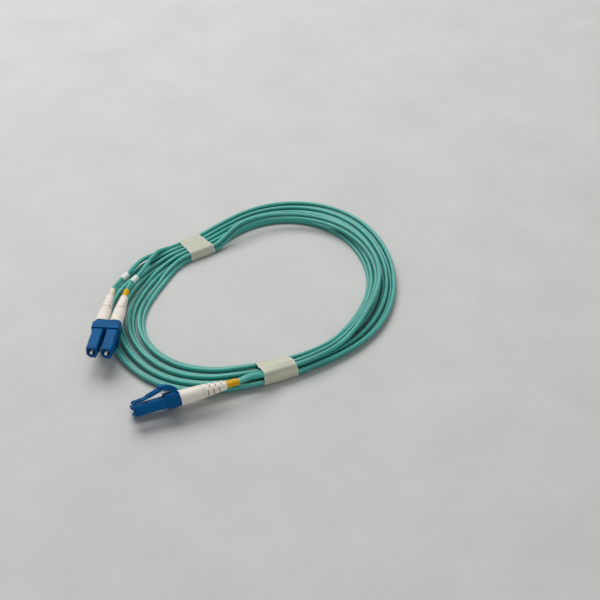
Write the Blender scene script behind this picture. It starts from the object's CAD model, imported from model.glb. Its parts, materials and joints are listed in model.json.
import json
import math

import bmesh
import bpy
import numpy as np
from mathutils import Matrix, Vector


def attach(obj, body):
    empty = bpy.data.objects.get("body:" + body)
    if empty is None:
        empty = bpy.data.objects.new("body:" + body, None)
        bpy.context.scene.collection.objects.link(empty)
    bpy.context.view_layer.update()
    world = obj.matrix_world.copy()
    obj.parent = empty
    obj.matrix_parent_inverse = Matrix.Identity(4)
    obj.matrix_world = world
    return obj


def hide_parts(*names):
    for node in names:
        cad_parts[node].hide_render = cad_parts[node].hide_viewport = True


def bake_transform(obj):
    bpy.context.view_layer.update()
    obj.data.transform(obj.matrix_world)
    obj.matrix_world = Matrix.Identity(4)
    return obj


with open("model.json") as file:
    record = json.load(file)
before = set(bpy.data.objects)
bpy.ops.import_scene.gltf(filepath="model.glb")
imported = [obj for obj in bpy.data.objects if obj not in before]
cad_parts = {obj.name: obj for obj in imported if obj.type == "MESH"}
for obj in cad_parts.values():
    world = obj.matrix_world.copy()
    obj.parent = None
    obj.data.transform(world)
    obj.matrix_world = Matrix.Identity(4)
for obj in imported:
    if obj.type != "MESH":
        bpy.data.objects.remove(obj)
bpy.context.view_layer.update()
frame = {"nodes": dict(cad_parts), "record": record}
cadNodes = frame["nodes"]
bodyOf = {n: b for b, names in frame["record"]["behaviour"]["bodies"].items() for n in names}
scene = bpy.context.scene
scene.view_settings.view_transform = "Standard"
mm = 0.001  # the dictionaries below are in millimetres and degrees, Blender is in metres
print("frame loaded:", len(cadNodes), "nodes")

cameraLook = {
    "lookAt": (59.8, 46.1, 0.0),
    "elevation": 39.0,
    "distance": 600.0,
    "lens": 79.2,
    "sensor": 36.0,
    "clip": (0.01, 20),  # metres
}


def makeCamera(look):
    # straight in front of the point it looks at, raised by its elevation
    tilt = math.radians(look["elevation"])
    camera = bpy.data.objects.new("camera", bpy.data.cameras.new("camera"))
    camera.data.lens = look["lens"]
    camera.data.sensor_width = look["sensor"]
    camera.data.clip_start, camera.data.clip_end = look["clip"]
    x, y, z = (v * mm for v in look["lookAt"])
    far = look["distance"] * mm
    camera.location = (x, y - far * math.cos(tilt), z + far * math.sin(tilt))
    camera.rotation_euler = (math.pi / 2 - tilt, 0, 0)
    scene.collection.objects.link(camera)
    scene.camera = camera


makeCamera(cameraLook)


def degCos(a):
    # cosine of an angle in degrees
    return np.cos(np.radians(a))


def degSin(a):
    # sine of an angle in degrees
    return np.sin(np.radians(a))


def smoothStep(x):
    # 0 below 0, 1 above 1, three squares less two cubes between them
    x = np.clip(x, 0, 1)
    return x * x * (3 - 2 * x)


def unitRows(v):
    # each row over its own length
    return v / np.linalg.norm(v, axis=-1, keepdims=True)


def addAttribute(mesh, name, values, domain="POINT"):
    # a number for each point or face, which a finish reads by its name
    values = np.asarray(values, np.float32).reshape(-1)
    mesh.attributes.new(name, "FLOAT", domain).data.foreach_set("value", values)


def faceOutwards(mesh, points, quads):
    # signed volume of the fan of every face about the origin: negative means the faces look inwards
    a, b, c, d = (points[quads[:, k]] for k in range(4))
    if (np.cross(a, b) * c).sum() + (np.cross(a, c) * d).sum() < 0:
        mesh.flip_normals()


def tubeMesh(name, grid, valley):
    # a grid of points, rows along the piece and columns round it, as one closed tube with flat ends;
    # in its map u is the share of the way round, and v the metres along the middle of the rows
    rows, cols = grid.shape[:2]
    r = np.arange(rows - 1)[:, None] * cols
    c = np.arange(cols)[None, :]
    nextC = (c + 1) % cols
    quads = np.stack([r + c, r + nextC, r + nextC + cols, r + c + cols], -1).reshape(-1, 4)
    middle = grid.mean(1)
    along = np.concatenate([[0], np.cumsum(np.linalg.norm(np.diff(middle, axis=0), axis=1))]) * mm
    cornerU = np.stack([c + 0 * r, c + 1 + 0 * r, c + 1 + 0 * r, c + 0 * r], -1).reshape(-1) / cols
    rowIndex = np.arange(rows - 1)[:, None] + 0 * c
    cornerV = along[np.stack([rowIndex, rowIndex, rowIndex + 1, rowIndex + 1], -1).reshape(-1)]
    ends = np.concatenate([np.arange(cols)[::-1], (rows - 1) * cols + np.arange(cols)])
    loops = np.concatenate([quads.reshape(-1), ends])
    uv = np.zeros((len(loops), 2))
    uv[: len(cornerU), 0] = cornerU
    uv[: len(cornerV), 1] = cornerV
    uv[len(cornerU):] = [0.25, 0]  # both flat ends take one spot of the pattern
    mesh = bpy.data.meshes.new(name)
    points = grid.reshape(-1, 3) * mm
    mesh.vertices.add(len(points))
    mesh.vertices.foreach_set("co", points.reshape(-1))
    mesh.loops.add(len(loops))
    mesh.loops.foreach_set("vertex_index", loops.astype(np.int32))
    starts = np.concatenate([np.arange(len(quads)) * 4, len(quads) * 4 + np.array([0, cols])])
    mesh.polygons.add(len(starts))
    mesh.polygons.foreach_set("loop_start", starts.astype(np.int32))
    mesh.uv_layers.new(name="wound").data.foreach_set("uv", uv.reshape(-1))
    mesh.update(calc_edges=True)
    mesh.validate()
    addAttribute(mesh, "valley", valley)
    faceOutwards(mesh, points, quads)
    return mesh


finishes = {}  # material slot: its material


def addPiece(name, mesh, slotName, body, sharp=40):
    # linked, painted, shaded smooth with its sharp edges kept, and riding on its body
    piece = bpy.data.objects.new(name, mesh)
    scene.collection.objects.link(piece)
    mesh.materials.clear()
    mesh.materials.append(finishes[slotName])
    mesh.polygons.foreach_set("use_smooth", np.ones(len(mesh.polygons), bool))
    mesh.set_sharp_from_angle(angle=math.radians(sharp))
    if body:
        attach(piece, body)
    return piece


def shade(code):
    # a written #rrggbb colour as linear light
    parts = [int(code[i:i + 2], 16) / 255 for i in (1, 3, 5)]
    return tuple(v / 12.92 if v <= 0.04045 else ((v + 0.055) / 1.055) ** 2.4 for v in parts) + (1.0,)


class Wire:
    # one output socket; sums, differences, products and powers of it add Math nodes to its finish
    def __init__(self, finish, socket):
        self.finish, self.socket = finish, socket

    def work(self, operation, a, b):
        return self.finish.node("ShaderNodeMath", {"operation": operation}, {0: a, 1: b})

    def __add__(self, other):
        return self.work("ADD", self, other)

    def __sub__(self, other):
        return self.work("SUBTRACT", self, other)

    def __rsub__(self, other):
        return self.work("SUBTRACT", other, self)

    def __mul__(self, other):
        return self.work("MULTIPLY", self, other)

    def __pow__(self, other):
        return self.work("POWER", self, other)

    __radd__ = __add__
    __rmul__ = __mul__

    def orMore(self, other):
        # the larger of the two
        return self.work("MAXIMUM", self, other)

    def clamped(self):
        return self.work("MINIMUM", self.orMore(0.0), 1.0)

    def above(self, low, high):
        # 0 below low, 1 above high, straight between them
        return ((self - low) * (1 / (high - low))).clamped()

    def beside(self, out):
        # another output of the same node
        return Wire(self.finish, self.socket.node.outputs[out])


class Finish:
    # the nodes of one procedural material, or of the world; node() makes each from its type, its
    # settings, the values or links of its sockets, and the output that is wanted
    def __init__(self, owner):
        owner.use_nodes = True
        self.owner, self.tree, self.coords = owner, owner.node_tree, None
        self.tree.nodes.clear()

    def node(self, kind, settings=None, values=None, out=0):
        made = self.tree.nodes.new(kind)
        for key, value in (settings or {}).items():
            setattr(made, key, value)
        for key, value in (values or {}).items():
            if isinstance(value, Wire):
                self.tree.links.new(value.socket, made.inputs[key])
            else:
                made.inputs[key].default_value = value
        return Wire(self, made.outputs[out]) if made.outputs else None

    def place(self, stretch=(1, 1, 1), turn=(0, 0, 0)):
        # object coordinates in metres, stretched and turned
        if self.coords is None:
            self.coords = self.node("ShaderNodeTexCoord", out=3)
        return self.node("ShaderNodeMapping", {}, {0: self.coords, 2: turn, 3: stretch})

    def wound(self):
        # u round the piece and v metres along it, as two values
        uv = self.node("ShaderNodeUVMap", {"uv_map": "wound"})
        u = self.node("ShaderNodeSeparateXYZ", {}, {0: uv})
        return u, u.beside(1)

    def attribute(self, name):
        return self.node("ShaderNodeAttribute", {"attribute_name": name}, out=2)

    def noise(self, size, detail=3.0, rough=0.55, vector=None):
        # cloudy noise whose patches are about size millimetres across
        vector = vector or self.place()
        values = {"Vector": vector, "Scale": 1 / mm / size, "Detail": detail, "Roughness": rough}
        return self.node("ShaderNodeTexNoise", {}, values)

    def cells(self, size, vector):
        # distance to scattered points about size millimetres apart
        return self.node("ShaderNodeTexVoronoi", {}, {"Vector": vector, "Scale": 1 / mm / size})

    def mix(self, amount, a, b):
        return self.node("ShaderNodeMix", {"data_type": "RGBA"}, {0: amount, 6: a, 7: b}, 2)

    def bump(self, height, deep):
        # height from 0 to 1 stands for deep millimetres
        return self.node("ShaderNodeBump", {}, {"Height": height, "Distance": deep * mm})

    def close(self, values):
        # the shader, from the values or links of its sockets
        self.node("ShaderNodeOutputMaterial", {}, {0: self.node("ShaderNodeBsdfPrincipled", {}, values)})
        return self.owner


def newFinish(name):
    # the finish of a new material, named for what it covers
    return Finish(bpy.data.materials.new(name))


softPatch = (0.35, 0.7)  # where in a noise's range its patches start and are full
jacketLook = {
    "aqua": "#23a296",
    "deep": "#178177",
    "pale": "#58c4b9",
    "valley": "#0b4b44",
    "patch": 9.0,
    "scuff": 0.7,
    "drawnOut": (0.004, 0.12),  # scale of the scuffs round the jacket and along it
    "scuffed": 0.35,
    "shadow": 0.85,  # how much of the valley's colour its bottom takes
    "roughness": 0.31,
    "ripple": 0.035,
    "gloss": 0.45,
    "coat": 0.42,
    "coatRoughness": 0.2,
}


def makeJacketFinish(look):
    # extruded jacket: soft mottling, drawn-out scuffs along it, darker in the web's valley
    f = newFinish("jacket_aqua")
    u, v = f.wound()
    around, along = look["drawnOut"]
    drawnOut = f.node("ShaderNodeCombineXYZ", {}, {0: u * around, 1: v * along, 2: 0.0})
    mottle = f.noise(look["patch"], 4.0)
    drawn = f.noise(look["scuff"], 3.0, 0.6, drawnOut)
    valley = (1 - f.attribute("valley")) ** 1.5
    base = f.mix(mottle.above(*softPatch), shade(look["deep"]), shade(look["aqua"]))
    base = f.mix(0.35 + mottle * 0.4, base, shade(look["aqua"]))
    base = f.mix(drawn.above(0.55, 0.8) * look["scuffed"], base, shade(look["pale"]))
    base = f.mix(valley * look["shadow"], base, shade(look["valley"]))
    rough = look["roughness"] + mottle * 0.1 + drawn * 0.12
    ripple = f.noise(look["scuff"] / 2, 2.0, 0.6, drawnOut) * 0.6 + f.noise(3.2, 2.0) * 0.4
    return f.close({"Base Color": base, "Roughness": rough, "Normal": f.bump(ripple, look["ripple"]),
                    "Specular IOR Level": look["gloss"], "Coat Weight": look["coat"],
                    "Coat Roughness": look["coatRoughness"], "Subsurface Weight": 0.04,
                    "Subsurface Scale": 0.0008})


sleeveFinishLooks = {
    "sleeve_yellow": {"main": "#dba600", "dirty": "#b38100", "roughness": 0.5},
    "sleeve_ivory": {"main": "#e6dfc9", "dirty": "#c9bfa4", "roughness": 0.48},
    "marker_white": {"main": "#ebebe6", "dirty": "#cfcfc6", "roughness": 0.5},
}


def makeSleeveFinish(name, look):
    # soft sleeve on the cord: cloudy grime and a fine tooth
    f = newFinish(name)
    cloud = f.noise(2.6, 4.0)
    fine = f.noise(0.35, 2.0)
    base = f.mix(cloud.above(0.45, 0.8) * 0.5, shade(look["main"]), shade(look["dirty"]))
    base = f.mix(fine.above(0.6, 0.75) * 0.25, base, shade(look["dirty"]))
    rough = look["roughness"] + cloud * 0.15
    return f.close({"Base Color": base, "Roughness": rough, "Normal": f.bump(fine, 0.03),
                    "Specular IOR Level": 0.25, "Subsurface Weight": 0.06, "Subsurface Scale": 0.001})


tapeLook = {
    "cream": "#c2c0a9",
    "gap": "#cac7b3",  # where the tape bridges two strands
    "strand": "#9db0a0",  # where it lies on one
    "fibre": "#d6d4c4",
    "rim": "#e4e4dc",
    "shines": 0.4,  # how much of the strand's colour comes through
    "rimmed": 0.55,
    "roughness": 0.7,
}


def makeTapeFinish(look):
    # papery tape: greenish where it lies on a strand, paler where it bridges, fibres across it
    f = newFinish("tape_cream")
    strand = f.attribute("strand")
    fibre = f.noise(0.5, 5.0, 0.65, f.place((1, 1, 0.25)))
    cloud = f.noise(5.0, 3.0)
    base = f.mix(strand * look["shines"], shade(look["gap"]), shade(look["strand"]))
    base = f.mix(cloud.above(0.4, 0.7) * 0.5, base, shade(look["cream"]))
    base = f.mix(fibre.above(0.55, 0.75) * 0.3, base, shade(look["fibre"]))
    base = f.mix(f.attribute("rim") * look["rimmed"], base, shade(look["rim"]))
    rough = look["roughness"] + fibre * 0.2 - strand * 0.08
    return f.close({"Base Color": base, "Roughness": rough, "Normal": f.bump(fibre * 0.7 + cloud * 0.3, 0.05),
                    "Subsurface Weight": 0.1, "Subsurface Scale": 0.001})


finishes["jacket_aqua"] = makeJacketFinish(jacketLook)
for name, look in sleeveFinishLooks.items():
    finishes[name] = makeSleeveFinish(name, look)
finishes["tape_cream"] = makeTapeFinish(tapeLook)
print("cord finishes made")

pairLook = {
    "at": np.array([[-24.85, -2.7, 11], [-8.3, -32.15, 5.2]]),
    "turn": np.array([[180, 3, 85.1], [-39, -2.8, 20.2]]),
    "side": [-1, 1, -1, 1],  # of each plug in its pair
    "halfPitch": 3.125,
    # along a plug from its nose
    "legFrom": 23.2,
    "bootEnd": 39.6,
    "sleeveEnd": 45.1,
}


def turnedBy(angles):
    # roll about X, then pitch about Y, then heading about Z
    cx, cy, cz = degCos(np.array(angles))
    sx, sy, sz = degSin(np.array(angles))
    aboutX = np.array([[1, 0, 0], [0, cx, -sx], [0, sx, cx]])
    aboutY = np.array([[cy, 0, sy], [0, 1, 0], [-sy, 0, cy]])
    aboutZ = np.array([[cz, -sz, 0], [sz, cz, 0], [0, 0, 1]])
    return aboutZ @ aboutY @ aboutX


def onPlug(n, points):
    # points in plug n's own frame, nose at x = 0 and tail along +X, placed in the object's frame
    points = np.asarray(points, float) + [0, pairLook["side"][n] * pairLook["halfPitch"], 0]
    return pairLook["at"][n // 2] + points @ turnedBy(pairLook["turn"][n // 2]).T


coilLook = {
    "mid": np.array([38.8, 52.1]),
    # radius to the middle of the bundle and the bundle's width, every 30 degrees from +X
    "ringMid": [56, 60.5, 67, 56.5, 38, 45.5, 55, 63.5, 67.5, 55.5, 54, 53],
    "ringWide": [13, 14.5, 18.5, 14, 11, 8.5, 26.5, 13.5, 18.5, 17.5, 8, 16.5],
    "backAt": 132,  # bearing of the back tape
    "frontWay": 210,  # degrees along the cord from it to the front tape
    # where the cord changes its lane: from, over how many degrees, by how many lanes
    "laneMoves": [(262, 84, -1), (606, 96, -1), (952, 110, -1),
                  (1302, 118, -1), (1485, 85, 2), (1590, 50, 1.3)],
    "climb": (1450, 24),  # onto the other turns: from, over how many degrees
    "lieFlat": (1590, 35),
    "taped": (30, 16),  # lifted so many degrees from a tape, and down again over so many
    "from": -8,
    "to": 1646,
    "step": 2.0,
    "jacket": 2.0,
    "zipPitch": 2.1,  # between the middles of its two jackets
    "webAt": 159.5,  # degrees round a jacket to where the web starts
    "valley": 0.75,  # half width of the valley over the web
    "gap": 0.65,  # between one turn and the next
    "standFlat": 0.2,  # how far the jackets are flattened on the table
    "tape": 0.25,
    "endGap": 0.1,
    "stub": 2.2,  # straight run at each end
    "length": 1.681,  # metres
    "roundPoints": 22,  # round each jacket of the coil
    "legRound": 24,
}
# points that each leg passes on its way from its sleeve to the coil
legWays = [
    [[-21.8, 50.4, 7.6], [-18.5, 57.1, 7], [-16.6, 63, 6.2], [-13.3, 70.7, 4.6], [-7.7, 77.4, 2.6]],
    [[-17.1, 48.6, 7.3], [-14.2, 55.5, 6.7], [-11.9, 61.9, 6.3], [-9.6, 69.1, 6], [-6.5, 76.3, 5]],
    [[40, -15.5, 9.1], [43.8, -13, 7.6]],
    [[39.3, -11.1, 5.9], [43.8, -9.6, 5.9]],
]


def tableAt(values, bearing):
    # closed uniform cubic B-spline over entries 30 degrees apart
    w = np.mod(bearing, 360) / 30
    i = np.floor(w).astype(int)
    f = w - i
    v = np.array(values, float)
    n = len(v)
    v0, v1, v2, v3 = v[(i - 1) % n], v[i % n], v[(i + 1) % n], v[(i + 2) % n]
    return (v0 * (1 - f) ** 3 + v1 * (3 * f**3 - 6 * f**2 + 4) + v2 * (-3 * f**3 + 3 * f**2 + 3 * f + 1)
            + v3 * f**3) / 6


def laneAt(t):
    # the outermost lane is 4; each move adds its lanes by a smooth step
    return 4 + sum(over * smoothStep((t - start) / width) for start, width, over in coilLook["laneMoves"])


def planAt(t):
    # ring radius at the bearing, plus the lane's share of the bundle's width
    b = coilLook["backAt"] - t
    r = tableAt(coilLook["ringMid"], b) + (laneAt(t) / 4 - 0.5) * tableAt(coilLook["ringWide"], b)
    return coilLook["mid"] + r[:, None] * np.stack([degCos(b), degSin(b)], -1)


def tapedAt(b):
    # 1 under a tape and close to it, falling smoothly to 0 beside it
    back = coilLook["backAt"]
    reach, fade = coilLook["taped"]
    away = [np.abs(np.mod(b - mark + 180, 360) - 180) for mark in (back, back - coilLook["frontWay"])]
    return np.max([smoothStep((reach - d) / fade) for d in away], axis=0)


def stationsAt(t):
    # middle of the cord, half the way between its jackets, and its heading, t degrees round the coil;
    # the cord leans so far that a turn one lane away stays a gap off, by the law of cosines
    t = np.asarray(t, float)
    look = coilLook
    b = look["backAt"] - t
    ahead = unitRows(planAt(t + 0.5) - planAt(t - 0.5))
    out = np.stack([-ahead[:, 1], ahead[:, 0]], -1)
    radial = np.stack([degCos(b), degSin(b)], -1)
    pitch = tableAt(look["ringWide"], b) / 4 * (out * radial).sum(1)
    zipPitch = look["zipPitch"]
    c = (pitch**2 + zipPitch**2 - (look["jacket"] + look["gap"]) ** 2) / (2 * zipPitch * pitch)
    lean = np.arccos(np.clip(c, 0, 1))
    up = smoothStep((t - look["climb"][0]) / look["climb"][1])
    own = lean * (1 - smoothStep((t - look["lieFlat"][0]) / look["lieFlat"][1]))
    lift = look["standFlat"] + look["tape"] + look["endGap"]
    base = look["jacket"] / 2 - look["standFlat"] + lift * tapedAt(b)
    z = base + zipPitch / 2 * np.sin(own) + up * (zipPitch * np.sin(lean) + look["jacket"] + look["gap"])
    middle = np.concatenate([planAt(t), z[:, None]], 1)
    web = zipPitch / 2 * np.concatenate([np.cos(own)[:, None] * out, np.sin(own)[:, None]], 1)
    return middle, web, np.concatenate([ahead, 0 * z[:, None]], 1)


def coilStations(step):
    # stations every few degrees, with a straight stub before the first and after the last
    t = np.concatenate([[coilLook["from"]], np.arange(0, coilLook["to"], step), [coilLook["to"]]])
    middle, web, ahead = stationsAt(t)
    stub = coilLook["stub"]
    middle = np.concatenate([middle[:1] - stub * ahead[:1], middle, middle[-1:] + stub * ahead[-1:]])
    web = np.concatenate([web[:1], web, web[-1:]])
    ahead = np.concatenate([ahead[:1], ahead, ahead[-1:]])
    return middle, web, ahead


def zipSection(n):
    # two round jackets side by side, joined by a thin web: points along the web and across it,
    # with how far each point is out of the valley between the jackets
    r = coilLook["jacket"] / 2
    a = np.linspace(-coilLook["webAt"], coilLook["webAt"], n)
    right = np.stack([coilLook["zipPitch"] / 2 + r * degCos(a), r * degSin(a)], -1)
    left = np.stack([-coilLook["zipPitch"] / 2 + r * degCos(a + 180), r * degSin(a + 180)], -1)
    points = np.concatenate([right, left])
    return points, np.clip(np.abs(points[:, 0]) / coilLook["valley"], 0, 1)


def makeCoil():
    # the section carried along the stations, its width along the web, and nothing below the table
    middle, web, ahead = coilStations(coilLook["step"])
    section, outOfValley = zipSection(coilLook["roundPoints"])
    w = unitRows(web)
    v = np.cross(ahead, w)
    grid = middle[:, None] + section[None, :, :1] * w[:, None] + section[None, :, 1:] * v[:, None]
    grid[..., 2] = np.maximum(grid[..., 2], 0)
    mesh = tubeMesh("coil_cord", grid, np.broadcast_to(outOfValley, grid.shape[:2]))
    piece = addPiece("coil_cord", mesh, "jacket_aqua", bodyOf["coil"])
    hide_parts("coil")
    return piece, middle


def legPoints(n):
    # straight out of the plug, through the chosen points, straight into the coil
    middle, web, ahead = coilStations(15)  # coarse, because only its ends count
    k, way = (0, -1) if n < 2 else (-1, 1)
    side = 1 if n in (1, 2) else -1
    end = middle[k] + side * web[k]
    straight = (pairLook["legFrom"], pairLook["bootEnd"], pairLook["sleeveEnd"] + 0.5)
    out = onPlug(n, [[x, 0, 0] for x in straight])
    return np.concatenate([out, legWays[n], [end + way * coilLook["stub"] * ahead[k], end]])


def roundedWay(points, step=0.7):
    # Catmull-Rom curve through the points, its pace set by the square root of each span
    p = np.concatenate([[2 * points[0] - points[1]], points, [2 * points[-1] - points[-2]]])
    knots = np.concatenate([[0], np.cumsum(np.linalg.norm(np.diff(p, axis=0), axis=1) ** 0.5)])
    pieces = []
    for i in range(1, len(p) - 2):
        count = max(2, int(np.linalg.norm(p[i + 1] - p[i]) / step))
        t = np.linspace(knots[i], knots[i + 1], count, endpoint=False)[:, None]
        k0, k1, k2, k3 = knots[i - 1:i + 3]
        a1 = (k1 - t) / (k1 - k0) * p[i - 1] + (t - k0) / (k1 - k0) * p[i]
        a2 = (k2 - t) / (k2 - k1) * p[i] + (t - k1) / (k2 - k1) * p[i + 1]
        a3 = (k3 - t) / (k3 - k2) * p[i + 1] + (t - k2) / (k3 - k2) * p[i + 2]
        b1 = (k2 - t) / (k2 - k0) * a1 + (t - k0) / (k2 - k0) * a2
        b2 = (k3 - t) / (k3 - k1) * a2 + (t - k1) / (k3 - k1) * a3
        pieces.append((k2 - t) / (k2 - k1) * b1 + (t - k1) / (k2 - k1) * b2)
    return np.concatenate(pieces + [p[-2:-1]])


def roundGrid(way, radius, n):
    # circles square to the path, carried along it without twist because up is the same everywhere
    ahead = unitRows(np.gradient(way, axis=0))
    side = unitRows(np.cross(ahead, [0, 0, 1]))
    up = np.cross(side, ahead)
    a = np.arange(n) * 360 / n
    spokes = degCos(a)[None, :, None] * side[:, None] + degSin(a)[None, :, None] * up[:, None]
    return way[:, None] + radius * spokes


def makeLeg(n, plug):
    # one round jacket along its rounded way
    way = roundedWay(legPoints(n))
    node = plug + "_leg"
    grid = roundGrid(way, coilLook["jacket"] / 2, coilLook["legRound"])
    mesh = tubeMesh(node + "_cord", grid, np.ones(grid.shape[:2]))
    piece = addPiece(node + "_cord", mesh, "jacket_aqua", bodyOf[node])
    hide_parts(node)
    return piece, way


def wayLength(way):
    # sum of the distances between its points, in metres
    return float(np.linalg.norm(np.diff(way, axis=0), axis=1).sum()) * mm


plugNames = ["a1", "a2", "b1", "b2"]
coilPiece, coilMiddle = makeCoil()
legPieces = {plug: makeLeg(n, plug) for n, plug in enumerate(plugNames)}
print("cords made; coil", round(wayLength(coilMiddle), 4), "m; legs",
      [round(wayLength(way), 4) for _, way in legPieces.values()])

sleeveLook = {"bore": 1.04, "outside": 1.3, "lip": 0.09, "round": 40}
markerLook = {"length": 4.6, "bore": 1.04, "outside": 1.25, "lip": 0.07, "round": 40}


def sleeveGrid(way, look):
    # a tube with rolled rims: out along its outside, back along its bore
    total = np.linalg.norm(way[-1] - way[0])
    lip = look["lip"]
    rim = np.linspace(0, 90, 5)
    wall = look["outside"] - lip
    x = np.concatenate([lip - lip * degCos(rim), total - lip + lip * degSin(rim), [total, total * 0.5, 0.0]])
    r = np.concatenate([wall + lip * degSin(rim), wall + lip * degCos(rim), [look["bore"]] * 3])
    ahead = (way[-1] - way[0]) / total
    middle = way[0] + x[:, None] * ahead
    side = unitRows(np.cross(ahead, [0, 0, 1.0]))
    up = np.cross(side, ahead)
    a = np.arange(look["round"]) * 360 / look["round"]
    spokes = degCos(a)[None, :, None] * side + degSin(a)[None, :, None] * up
    return middle[:, None] + r[:, None, None] * spokes


def ringMesh(name, grid):
    # a grid closed both ways round, like a bent ring
    rows, cols = grid.shape[:2]
    r = np.arange(rows)[:, None] * cols
    c = np.arange(cols)[None, :]
    nextR = (np.arange(rows)[:, None] + 1) % rows * cols
    quads = np.stack([r + c, r + (c + 1) % cols, nextR + (c + 1) % cols, nextR + c], -1).reshape(-1, 4)
    points = grid.reshape(-1, 3) * mm
    mesh = bpy.data.meshes.new(name)
    mesh.from_pydata(points, [], quads)
    faceOutwards(mesh, points, quads)
    mesh.validate()
    return mesh


def makeSleeve(node, way, look, slotName):
    # the soft tube that stands for its node
    mesh = ringMesh(node + "_soft", sleeveGrid(way, look))
    piece = addPiece(node + "_soft", mesh, slotName, bodyOf[node])
    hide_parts(node)
    return piece


def makeSleeves():
    # a sleeve behind each boot, and a marker on each leg of the first pair, between its last two points
    made = {}
    for n, plug in enumerate(plugNames):
        way = onPlug(n, [[pairLook["bootEnd"], 0, 0], [pairLook["sleeveEnd"], 0, 0]])
        slotName = "sleeve_ivory" if n == 0 else "sleeve_yellow"
        made[plug] = [makeSleeve(plug + "_sleeve", way, sleeveLook, slotName)]
    for n, plug in enumerate(plugNames[:2]):
        points = legPoints(n)
        middle = (points[3] + points[4]) / 2
        half = markerLook["length"] / 2 * unitRows(points[4] - points[3])
        way = np.array([middle - half, middle + half])
        made[plug].append(makeSleeve(plug + "_marker", way, markerLook, "marker_white"))
    return made


sleevePieces = makeSleeves()
print("sleeves and markers made")

bandLook = {
    # middle and half length in degrees along the cord, turns under it, random seed
    "back": (0.0, 6.6, 5, 3),
    "front": (float(coilLook["frontWay"]), 7.0, 4, 8),
    "rows": 21,
    "round": 220,
    "thick": 0.21,
    "dip": 0.08,  # between two strands
    "dipFade": 0.35,
    "strandFade": 0.12,  # distance over which a strand stops shining through
    "ragged": 0.3,  # how far the ends wander
    "wander": 25,  # over how many points their noise is smoothed
    "seam": 0.1,  # step where the tape laps over its start
    "lap": (0.62, 0.83),  # share of the way round where it starts and stops
    "lapFade": (0.004, 0.02),
    "lapInside": 0.9,  # share of the step on the inside
    "rim": (0.88, 0.08),  # share of the half length where the paler rim starts, and its fade
    "offTable": 0.01,
    "legsFrom": 1600,  # degrees along the cord from where it is led on into the front legs
}


def crossing(way, origin, ahead):
    # where a path crosses the plane at origin square to ahead, looked for within 30 mm
    near = way[np.linalg.norm(way - origin, axis=1) < 30]
    d = (near - origin) @ ahead
    order = np.argsort(d)
    return np.array([np.interp(0, d[order], near[order, k]) for k in range(3)])


def bandPoints(t, passes, riders):
    # jacket middles in the plane across the bundle at t: across it, and up
    origin, _, ahead = (v[0] for v in stationsAt([t]))
    across = unitRows(np.array([-ahead[1], ahead[0], 0]))
    centre, web, _ = stationsAt(t + 360 * np.arange(passes))
    crossed = [crossing(way, origin, ahead)[None] for way in riders]
    points = np.concatenate([centre + web, centre - web] + crossed)
    flat = np.stack([(points - origin) @ across, points[:, 2]], -1)
    return np.array([origin[0], origin[1], 0]), across, ahead, flat


def bandCurve(flat, reach, n):
    # the tightest band round circles of radius reach: for each way it looks, the nearest of the
    # straight lines that touch the circles; it dips a little where it bridges two strands, and how
    # near it is to a strand falls off exponentially with the distance
    centre = (flat.max(0) + flat.min(0)) / 2
    size = (flat.max(0) - flat.min(0)) / 2 + reach
    psi = np.arange(n) * 360 / n
    look = np.arctan2(size[1] * degSin(psi), size[0] * degCos(psi))
    a = np.radians(np.arange(0, 360, 1.5))
    ways = np.stack([np.cos(a), np.sin(a)], -1)
    touch = ((flat - centre) @ ways.T).max(0) + reach
    facing = np.cos(look[:, None] - a[None])
    least = 0.05  # lines that face away are never met
    r = np.where(facing > least, touch[None] / np.maximum(facing, least), np.inf).min(1)
    ray = np.stack([np.cos(look), np.sin(look)], -1)
    curve = centre + r[:, None] * ray
    away = np.linalg.norm(curve[:, None] - flat[None], axis=-1).min(1) - reach
    normal = unitRows(np.stack([np.cos(look) / size[0], np.sin(look) / size[1]], -1))
    away = np.maximum(away, 0)
    dip = bandLook["dip"] * (1 - np.exp(-away / bandLook["dipFade"]))
    return curve - dip[:, None] * normal, np.exp(-away / bandLook["strandFade"]), normal


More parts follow.
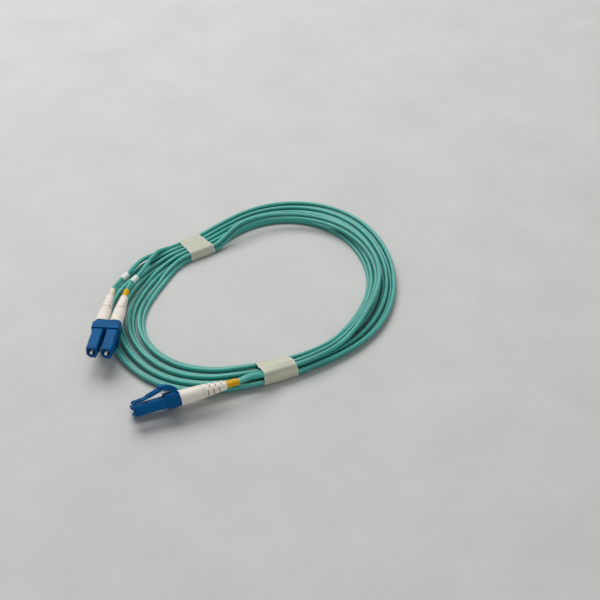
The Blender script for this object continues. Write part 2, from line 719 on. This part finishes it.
def makeBand(node, riders):
    # the band's curve at each row along the bundle, outside and inside, closed into a ring; its ends
    # wander by smoothed noise, which grows with the fourth power of the way from the middle
    look = bandLook
    middleT, half, passes, seed = look[node.removeprefix("tape_")]
    rng = np.random.default_rng(seed)
    edge = np.convolve(np.tile(rng.normal(size=look["round"]), 3), np.hanning(look["wander"]), "same")
    edge = edge[look["round"]:2 * look["round"]]
    edge = edge / np.abs(edge).max() * look["ragged"]
    turn = np.arange(look["round"]) / look["round"]
    start, stop = look["lap"]
    rise, fall = look["lapFade"]
    overlap = look["seam"] * smoothStep((turn - start) / rise) * smoothStep((stop - turn) / fall)
    inset = look["thick"] - look["seam"]
    reach = coilLook["jacket"] / 2 + coilLook["endGap"] + inset
    shares = np.linspace(-1, 1, look["rows"])
    outer, inner, strand = [], [], []
    for share in shares:
        origin, across, ahead, flat = bandPoints(middleT + share * half, passes, riders)
        curve, over, normal = bandCurve(flat, reach, look["round"])
        curve = curve + overlap[:, None] * normal
        under = curve - inset * normal - overlap[:, None] * look["lapInside"] * normal
        slide = (edge * np.abs(share) ** 4 * np.sign(share))[:, None] * ahead
        outer.append(origin + curve[:, :1] * across + curve[:, 1:] * [0, 0, 1.0] + slide)
        inner.append(origin + under[:, :1] * across + under[:, 1:] * [0, 0, 1.0] + slide)
        strand.append(over)
    grid = np.array(outer + inner[::-1])
    grid[..., 2] = np.maximum(grid[..., 2], look["offTable"])
    mesh = ringMesh(node + "_soft", grid)
    addAttribute(mesh, "strand", strand + strand[::-1])
    # the cut rims are paler, from 0 up to 1 close to each end
    start, fade = look["rim"]
    rim = smoothStep((np.abs(np.concatenate([shares, shares[::-1]])) - start) / fade)
    addAttribute(mesh, "rim", np.repeat(rim, look["round"]))
    piece = addPiece(node + "_soft", mesh, "tape_cream", bodyOf[node], sharp=50)
    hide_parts(node)
    return piece


def makeTapes():
    # the last turn goes on in the front pair's legs, so both of those pass under the front tape
    t = np.arange(bandLook["legsFrom"], coilLook["to"] + 1, coilLook["step"])
    middle, web, _ = stationsAt(t)
    riders = []
    for plug, side in (("b1", 1), ("b2", -1)):
        leg = legPieces[plug][1]
        riders.append(np.concatenate([middle + side * web, leg[len(leg) // 2:][::-1]]))
    return [makeBand("tape_back", []), makeBand("tape_front", riders)]


tapePieces = makeTapes()
print("tapes made")


def declareCords():
    # the coil with its tapes, and each leg with its sleeve and marker
    coilMiddle[0] * mm
    coilMiddle * mm
    for n, plug in enumerate(plugNames):
        bootEnd = onPlug(n, [[pairLook["bootEnd"], 0, 0]])[0]
        bootEnd * mm


declareCords()
print("cords declared")

plasticLooks = {
    "plug_blue": {"main": "#005c96", "deep": "#004e81", "worn": "#136197", "roughness": 0.44, "grain": 0.22},
    "clip_blue": {"main": "#005993", "deep": "#004b7d", "worn": "#125e91", "roughness": 0.48, "grain": 0.25},
}


def makePlasticFinish(name, look):
    # moulded plastic: faint flow clouds, fine spark grain, handling scuffs
    f = newFinish(name)
    flow = f.noise(7.0, 3.0, 0.5, f.place((1, 1, 0.5)))
    spark = f.noise(look["grain"], 2.0, 0.5)
    scuff = f.noise(0.9, 5.0, 0.7, f.place((1, 0.2, 1), (0.4, 0.3, 0.9)))
    scuffed = scuff.above(0.6, 0.72)
    base = f.mix(flow.above(*softPatch), shade(look["deep"]), shade(look["main"]))
    base = f.mix(scuffed * 0.3, base, shade(look["worn"]))
    rough = look["roughness"] + flow * 0.1 + scuffed * 0.14
    return f.close({"Base Color": base, "Roughness": rough, "Specular IOR Level": 0.09,
                    "Normal": f.bump(spark * 0.8 + scuffed * 0.2, 0.018)})


rubberLook = {
    "white": "#efe8de",
    "deep": "#e3dace",
    "grime": "#c9bca9",
    "dust": "#75695a",
    "grimy": 0.22,
    "dusty": 0.8,
    "roughness": 0.5,
}


def makeBootFinish(look):
    # soft rubber: warm white, faint grime in patches, matte with a fine tooth
    f = newFinish("boot_white")
    cloud = f.noise(4.0, 4.0)
    tooth = f.noise(0.3, 2.0)
    grime = f.noise(1.2, 5.0, 0.7).above(0.55, 0.78)
    base = f.mix(cloud.above(*softPatch), shade(look["deep"]), shade(look["white"]))
    base = f.mix(grime * look["grimy"], base, shade(look["grime"]))
    # dust settles in the ring grooves and the slits
    base = f.mix(f.attribute("deep") * look["dusty"], base, shade(look["dust"]))
    rough = look["roughness"] + cloud * 0.18
    return f.close({"Base Color": base, "Roughness": rough, "Normal": f.bump(tooth, 0.03),
                    "Subsurface Weight": 0.04, "Subsurface Scale": 0.0008})


metalLooks = {
    # drawn is how the fine lines are stretched in the part's own directions
    "nickel": {"main": "#c9c6bd", "dark": "#a8a293", "roughness": 0.22, "drawn": (1, 1, 6)},
    "spring_steel": {"main": "#b8b9ba", "dark": "#8b8a86", "roughness": 0.28, "drawn": (3, 3, 1)},
    "crimp_metal": {"main": "#b9a77c", "dark": "#8f7d55", "roughness": 0.3, "drawn": (1, 5, 1)},
}


def makeMetalFinish(name, look):
    # turned or rolled metal: fine lines round it and slight staining
    f = newFinish(name)
    lines = f.noise(0.12, 2.0, 0.5, f.place(look["drawn"]))
    stain = f.noise(1.6, 4.0)
    base = f.mix(stain.above(0.4, 0.75) * 0.5, shade(look["main"]), shade(look["dark"]))
    rough = look["roughness"] + lines * 0.18
    return f.close({"Base Color": base, "Metallic": 1.0, "Roughness": rough, "Normal": f.bump(lines, 0.01)})


ceramicLook = {"white": "#f4f2ea", "deep": "#ece8dd", "roughness": 0.14}


def makeCeramicFinish(look):
    # polished ceramic: nearly even white with a faint lapped ring pattern
    f = newFinish("ceramic")
    cloud = f.noise(1.0, 3.0)
    lap = f.noise(0.09, 2.0)
    base = f.mix(cloud.above(0.4, 0.7), shade(look["deep"]), shade(look["white"]))
    rough = look["roughness"] + cloud * 0.08
    return f.close({"Base Color": base, "Roughness": rough, "Normal": f.bump(lap, 0.003),
                    "Subsurface Weight": 0.1, "Subsurface Scale": 0.0005, "Coat Weight": 0.3,
                    "Coat Roughness": 0.1})


fibreLook = {"white": "#eef0ec", "deep": "#dfe2dd", "roughness": 0.4}


def makeFibreFinish(look):
    # buffered fibre: pale, slightly translucent plastic
    f = newFinish("buffer_white")
    cloud = f.noise(1.4, 3.0)
    base = f.mix(cloud.above(*softPatch), shade(look["deep"]), shade(look["white"]))
    rough = look["roughness"] + cloud * 0.1
    return f.close({"Base Color": base, "Roughness": rough, "Normal": f.bump(f.noise(0.4), 0.01),
                    "Subsurface Weight": 0.15, "Subsurface Scale": 0.0006})


for name, look in plasticLooks.items():
    finishes[name] = makePlasticFinish(name, look)
finishes["boot_white"] = makeBootFinish(rubberLook)
finishes["ceramic"] = makeCeramicFinish(ceramicLook)
for name, look in metalLooks.items():
    finishes[name] = makeMetalFinish(name, look)
finishes["buffer_white"] = makeFibreFinish(fibreLook)
print("plug finishes made")

edgeLook = {
    # kind of node: finish, width of the rounded edges in mm, least angle that is rounded
    "ferrule": ("ceramic", 0.03, 35),
    "housing": ("plug_blue", 0.12, 28),
    "latch": ("plug_blue", 0.1, 28),
    "back_body": ("plug_blue", 0.1, 28),
    "boot": ("boot_white", 0.1, 28),
    "clip": ("clip_blue", 0.14, 28),
    "trigger": ("clip_blue", 0.13, 42),
}


def cleanCopy(node):
    # a copy of the node's mesh with its corners merged and its flat faces joined
    mesh = cadNodes[node].data.copy()
    mesh.name = node + "_moulded"
    work = bmesh.new()
    work.from_mesh(mesh)
    bmesh.ops.remove_doubles(work, verts=work.verts, dist=2e-6)
    bmesh.ops.dissolve_limit(work, angle_limit=math.radians(0.5), verts=work.verts, edges=work.edges)
    bmesh.ops.recalc_face_normals(work, faces=work.faces)
    work.to_mesh(mesh)
    work.free()
    return mesh


def inPlug(n, points):
    # points in metres back in plug n's own frame, in millimetres: the way back from onPlug
    points = (points.reshape(-1, 3) / mm - pairLook["at"][n // 2]) @ turnedBy(pairLook["turn"][n // 2])
    return points - [0, pairLook["side"][n] * pairLook["halfPitch"], 0]


bootLook = {
    # along the plug, where the boot's tapered tail starts and ends, and its width there
    "mid": 29.6,
    "end": 39.6,
    "midWide": 5.4,
    "tailWide": 3.4,
    "margin": 0.12,
    # shares of the tail: the faces that are looked at, and where the slits start
    "inside": (-0.04, 0.97),
    "slitsFrom": 0.1,
    "ringShade": 0.25,
}


def markDeepFaces(mesh, n, look):
    # 1 on each face that lies below the outer skin of the boot's tail, less in the ring grooves
    middles = np.empty(len(mesh.polygons) * 3)
    mesh.polygons.foreach_get("center", middles)
    local = inPlug(n, middles)
    # the skin's radius shrinks evenly from the middle to the tail
    part = (local[:, 0] - look["mid"]) / (look["end"] - look["mid"])
    skin = (look["midWide"] + (look["tailWide"] - look["midWide"]) * part) / 2
    below = np.hypot(local[:, 1], local[:, 2]) < skin - look["margin"]
    start, stop = look["inside"]
    inside = (part > start) & (part < stop)
    deep = np.where(part < look["slitsFrom"], look["ringShade"], 1.0) * (below & inside)
    addAttribute(mesh, "deep", deep, "FACE")


def makePlugPieces():
    # each moulded part is its node's clean copy with rounded edges
    plugKinds = ("ferrule", "housing", "latch", "back_body", "boot")
    names = [(plug, kind) for plug in plugNames for kind in plugKinds]
    names += [(end, kind) for end in ("a", "b") for kind in ("clip", "trigger")]
    for owner, kind in names:
        node = owner + "_" + kind
        slotName, width, angle = edgeLook[kind]
        mesh = cleanCopy(node)
        if kind == "boot":
            markDeepFaces(mesh, plugNames.index(owner), bootLook)
        piece = addPiece(node + "_moulded", mesh, slotName, bodyOf[node], sharp=angle + 2)
        rounding = piece.modifiers.new("rounded edges", "BEVEL")
        rounding.width = width * mm
        rounding.segments = 2
        rounding.limit_method = "ANGLE"
        rounding.angle_limit = math.radians(angle)
        rounding.use_clamp_overlap = True
        rounding.harden_normals = False
        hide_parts(node)


makePlugPieces()

springLook = {"deadCoil": 0.35}  # length of the closed coil at each end


def makeSprings(look):
    # each spring's front coil goes with its ferrule and its last coil stays, so it shortens in between
    for n, plug in enumerate(plugNames):
        node = plug + "_spring"
        mesh = cleanCopy(node)
        corners = np.empty(len(mesh.vertices) * 3)
        mesh.vertices.foreach_get("co", corners)
        along = inPlug(n, corners)[:, 0]
        start, end = along.min() + look["deadCoil"], along.max() - look["deadCoil"]
        ends = onPlug(n, [[start, 0, 0], [end, 0, 0]]) * mm
        piece = addPiece(plug + "_coiled_spring", mesh, "spring_steel", None)
        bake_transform(piece)
        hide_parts(node)


makeSprings(springLook)
print("plugs and springs made")

slotOf = {s["node"]: s["material_slot"] for s in frame["record"]["subparts"]}


def paintNodes():
    # nodes inside the plugs keep their own mesh, so every node takes the finish of its slot
    for name, node in cadNodes.items():
        finish = finishes[slotOf[name]]
        if not node.material_slots:
            node.data.materials.append(finish)
        for place in node.material_slots:
            place.material = finish


paintNodes()
print("carried nodes painted")

floorLook = {
    "main": "#cfcfcd",
    "shaded": "#c6c7c5",
    "speck": "#8a8a84",
    "roughness": 0.55,
    "cloud": 38.0,
    "grain": 1.6,
    "grainDeep": 0.12,
    "specks": 31.0,  # how far apart they are
    "speckSize": (0.007, 0.015),  # full and gone, as shares of that
    "side": 6000.0,
    "below": 0.2,
}


def makeFloor(look):
    # a square just under the object, so that nothing that lies on it flickers
    f = newFinish("pale_floor")
    cloud = f.noise(look["cloud"], 4.0, 0.6)
    grain = f.noise(look["grain"], 4.0, 0.6)
    speck = 1 - f.cells(look["specks"], f.place((1, 0.6, 1), (0, 0, 0.7))).above(*look["speckSize"])
    base = f.mix(cloud.above(0.3, 0.75), shade(look["shaded"]), shade(look["main"]))
    base = f.mix(speck * 0.6, base, shade(look["speck"]))
    rough = look["roughness"] + grain * 0.15
    f.close({"Base Color": base, "Roughness": rough, "Specular IOR Level": 0.3,
             "Normal": f.bump(grain, look["grainDeep"])})
    half, low = look["side"] / 2 * mm, -look["below"] * mm
    corners = [(x * half, y * half, low) for x, y in ((-1, -1), (1, -1), (1, 1), (-1, 1))]
    mesh = bpy.data.meshes.new("floor")
    mesh.from_pydata(corners, [], [(0, 1, 2, 3)])
    mesh.materials.append(f.owner)
    floor = bpy.data.objects.new("floor", mesh)
    scene.collection.objects.link(floor)


lampLook = {
    # name: place in metres, what it looks at, size, watts, colour
    "overhead": ((-0.25, 0.65, 1.0), (0.05, 0.05, 0.0), 1.1, 12.0, (1.0, 0.99, 0.97)),
    "front": ((0.6, -0.9, 0.8), (0.05, 0.03, 0.0), 0.9, 1.4, (0.93, 0.97, 1.0)),
}


def makeLamps():
    # round area lamps, each turned towards the point it looks at
    for name, (place, target, size, watts, colour) in lampLook.items():
        lamp = bpy.data.lights.new(name, "AREA")
        lamp.shape = "DISK"
        lamp.size = size
        lamp.energy = watts
        lamp.color = colour
        holder = bpy.data.objects.new(name, lamp)
        holder.location = place
        way = Vector(target) - Vector(place)
        holder.rotation_euler = way.to_track_quat("-Z", "Y").to_euler()
        scene.collection.objects.link(holder)


worldLook = {
    # colour and strength of the light all round, and of the background that is seen
    "ambient": {"Color": (0.97, 0.985, 1.0, 1.0), "Strength": 0.32},
    "shown": {"Color": (1.0, 1.0, 1.0, 1.0), "Strength": 0.9},
}


def makeWorld(look):
    # the pale background shows to the camera and in glossy and clear surfaces; the rest gets the ambient
    scene.world = bpy.data.worlds.new("soft_room")
    f = Finish(scene.world)
    ambient = f.node("ShaderNodeBackground", {}, look["ambient"])
    shown = f.node("ShaderNodeBackground", {}, look["shown"])
    camera = f.node("ShaderNodeLightPath", out="Is Camera Ray")
    seen = camera.orMore(camera.beside("Is Glossy Ray")).orMore(camera.beside("Is Transmission Ray"))
    pick = f.node("ShaderNodeMixShader", {}, {0: seen, 1: ambient, 2: shown})
    f.node("ShaderNodeOutputWorld", {}, {0: pick})


makeFloor(floorLook)
makeLamps()
makeWorld(worldLook)
print("floor and lamps made")

print("boxes written")
